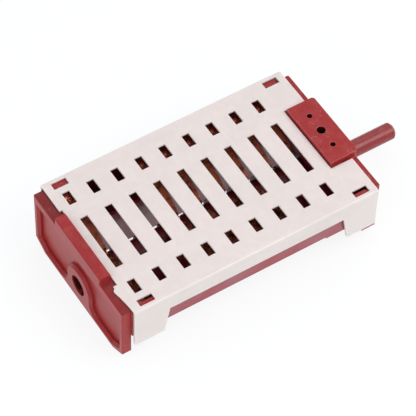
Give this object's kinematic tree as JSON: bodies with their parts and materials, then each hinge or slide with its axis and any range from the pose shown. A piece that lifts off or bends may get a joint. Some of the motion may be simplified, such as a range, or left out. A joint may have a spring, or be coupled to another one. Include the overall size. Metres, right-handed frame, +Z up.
{
  "type": "rotary cam switch",
  "caption": "Oven selector switch: cam drum on a plastic shaft turns under a slotted white cover, in a red housing with copper contact blades, push-on tabs and a raised mounting block.",
  "frame": {"origin": "on the shaft's axis where the shaft leaves the housing's front face", "axes": "+X along the shaft towards the knob, +Y across the housing, +Z up from the surface the switch lies on towards the cover"},
  "size_m": [0.1223, 0.0582, 0.0279],
  "materials": {
    "red_moulding": "satin brick-red moulded plastic",
    "white_moulding": "satin white moulded plastic",
    "shaft_moulding": "satin brick-red moulded plastic",
    "cam_moulding": "satin dark red moulded plastic",
    "copper_strip": "bright rolled copper strip",
    "spring_steel": "rolled spring steel",
    "terminal_brass": "dull stamped strip",
    "contact_silver": "bright contact metal"
  },
  "bodies": {
    "switch_body": {"housing": "red_moulding", "rear_end_plate": "red_moulding", "cover": "white_moulding", "fixed_contacts": "contact_silver", "moving_contacts": "contact_silver", "detent_leaf": "spring_steel", "blade_far_1": "copper_strip", "blade_far_4": "copper_strip", "blade_far_5": "copper_strip", "blade_far_6": "copper_strip", "blade_far_7": "copper_strip", "blade_far_8": "copper_strip", "blade_far_9": "copper_strip", "blade_near_1": "copper_strip", "blade_near_4": "copper_strip", "blade_near_5": "copper_strip", "blade_near_6": "copper_strip", "blade_near_7": "copper_strip", "terminal_far_1": "terminal_brass", "terminal_far_4": "terminal_brass", "terminal_far_5": "terminal_brass", "terminal_far_6": "terminal_brass", "terminal_far_7": "terminal_brass", "terminal_far_8": "terminal_brass", "terminal_far_9": "terminal_brass", "terminal_near_1": "terminal_brass", "terminal_near_4": "terminal_brass", "terminal_near_5": "terminal_brass", "terminal_near_6": "terminal_brass", "terminal_near_7": "terminal_brass"},
    "cam_drum": {"shaft": "shaft_moulding", "drum_cap": "shaft_moulding", "cam_1": "cam_moulding", "cam_2": "cam_moulding", "cam_3": "cam_moulding", "cam_4": "cam_moulding", "cam_5": "cam_moulding", "cam_6": "cam_moulding", "cam_7": "cam_moulding", "cam_8": "cam_moulding", "cam_9": "cam_moulding", "detent_wheel": "cam_moulding"}
  },
  "joints": [
    {"name": "shaft_turn", "type": "hinge", "parent": "switch_body", "child": "cam_drum", "pos_m": [0, 0, 0], "axis": [1, 0, 0], "continuous": true}
  ]
}
